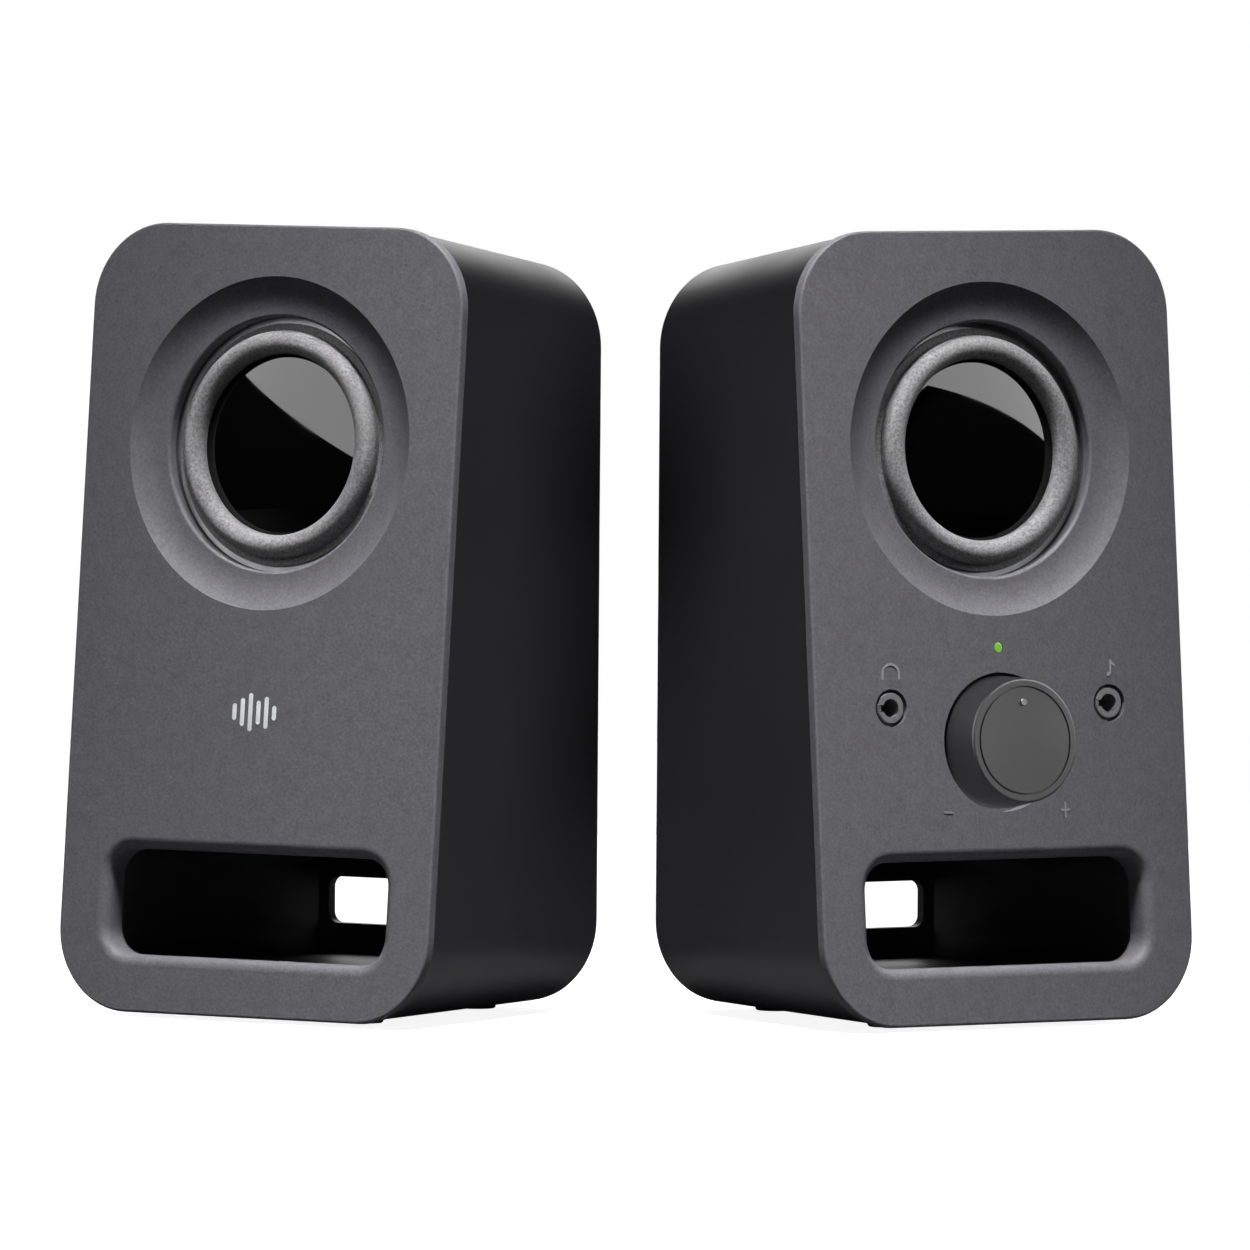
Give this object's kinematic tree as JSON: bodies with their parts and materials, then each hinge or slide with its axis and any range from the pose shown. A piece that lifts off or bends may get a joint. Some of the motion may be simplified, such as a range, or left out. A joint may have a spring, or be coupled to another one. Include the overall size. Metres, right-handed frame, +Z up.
{
  "type": "desktop speaker pair",
  "caption": "Compact powered desktop speakers with leaned-back fronts, a round driver above an open tunnel, a volume knob and front audio sockets.",
  "frame": {"origin": "middle of the pair's footprint, at the level the feet stand on", "axes": "+X to the right as the pair is seen from the front, +Y to the back, +Z up; each speaker is turned outwards by 32.4 degrees"},
  "size_m": [0.2218, 0.1036, 0.1548],
  "materials": {
    "baffle_plastic": "fine spark-textured matte",
    "cabinet_plastic": "smooth satin",
    "foot_rubber": "matte",
    "screw_steel": "black zinc",
    "gasket_foam": "closed-cell foam",
    "basket_steel": "satin black",
    "surround_rubber": "fine grained matte",
    "cap_gloss": "high gloss",
    "cone_paper": "pressed pulp",
    "former_foil": "rolled foil",
    "coil_copper": "enamelled copper wire",
    "spider_cloth": "resin-dipped cloth",
    "plated_steel": "zinc plated",
    "ferrite": "sintered",
    "board_laminate": "solder-masked glass laminate",
    "tag_brass": "tinned",
    "knob_plastic": "fine matte",
    "shaft_metal": "turned",
    "lamp_green": "clear tinted",
    "lamp_chip": "moulded",
    "chip_plastic": "moulded epoxy",
    "can_aluminium": "sleeved can",
    "jack_plastic": "moulded nylon",
    "contact_metal": "bright sprung strip",
    "wire_sleeve": "insulated wire"
  },
  "bodies": {
    "main": {"main_amplifier_board": "board_laminate", "main_amplifier_chip": "chip_plastic", "main_aux_jack": "jack_plastic", "main_baffle": "baffle_plastic", "main_basket": "basket_steel", "main_board_screws": "screw_steel", "main_cabinet": "cabinet_plastic", "main_cabinet_screws": "screw_steel", "main_capacitors": "can_aluminium", "main_driver_gasket": "gasket_foam", "main_driver_leads": "wire_sleeve", "main_driver_screws": "screw_steel", "main_feet": "foot_rubber", "main_headphone_jack": "jack_plastic", "main_jack_contacts": "contact_metal", "main_led": "lamp_chip", "main_led_lens": "lamp_green", "main_line_jack": "jack_plastic", "main_link_jack": "jack_plastic", "main_magnet": "ferrite", "main_pole_piece": "plated_steel", "main_pot_body": "shaft_metal", "main_power_inlet": "jack_plastic", "main_power_pin": "tag_brass", "main_rear_board": "board_laminate", "main_spider": "spider_cloth", "main_supply_leads": "wire_sleeve", "main_surround": "surround_rubber", "main_terminal_strip": "board_laminate", "main_terminal_tags": "tag_brass", "main_top_plate": "plated_steel"},
    "satellite": {"satellite_baffle": "baffle_plastic", "satellite_basket": "basket_steel", "satellite_cabinet": "cabinet_plastic", "satellite_cabinet_screws": "screw_steel", "satellite_driver_gasket": "gasket_foam", "satellite_driver_leads": "wire_sleeve", "satellite_driver_screws": "screw_steel", "satellite_feet": "foot_rubber", "satellite_jack_contacts": "contact_metal", "satellite_link_jack": "jack_plastic", "satellite_magnet": "ferrite", "satellite_pole_piece": "plated_steel", "satellite_rear_board": "board_laminate", "satellite_spider": "spider_cloth", "satellite_surround": "surround_rubber", "satellite_terminal_strip": "board_laminate", "satellite_terminal_tags": "tag_brass", "satellite_top_plate": "plated_steel"},
    "main_diaphragm": {"main_coil_former": "former_foil", "main_cone": "cone_paper", "main_dust_cap": "cap_gloss", "main_voice_coil": "coil_copper"},
    "satellite_diaphragm": {"satellite_coil_former": "former_foil", "satellite_cone": "cone_paper", "satellite_dust_cap": "cap_gloss", "satellite_voice_coil": "coil_copper"},
    "knob": {"main_pot_shaft": "shaft_metal", "main_volume_knob": "knob_plastic"}
  },
  "joints": [
    {"name": "satellite_placing", "type": "slide", "parent": "main", "child": "satellite", "axis": [-1, 0, 0], "range_m": [0, 0.4]},
    {"name": "volume_turn", "type": "hinge", "parent": "main", "child": "knob", "pos_m": [0.07291, -0.02599, 0.05539], "axis": [0.5333, -0.8414, 0.0872], "range_deg": [-150, 150]},
    {"name": "main_cone_travel", "type": "slide", "parent": "main", "child": "main_diaphragm", "axis": [0.5333, -0.8414, 0.0872], "range_m": [-0.0015, 0.0015], "stiffness_N_per_m": 1200, "deforming": ["main_surround", "main_spider"]},
    {"name": "satellite_cone_travel", "type": "slide", "parent": "satellite", "child": "satellite_diaphragm", "axis": [-0.5333, -0.8414, 0.0872], "range_m": [-0.0015, 0.0015], "stiffness_N_per_m": 1200, "deforming": ["satellite_surround", "satellite_spider"]}
  ]
}
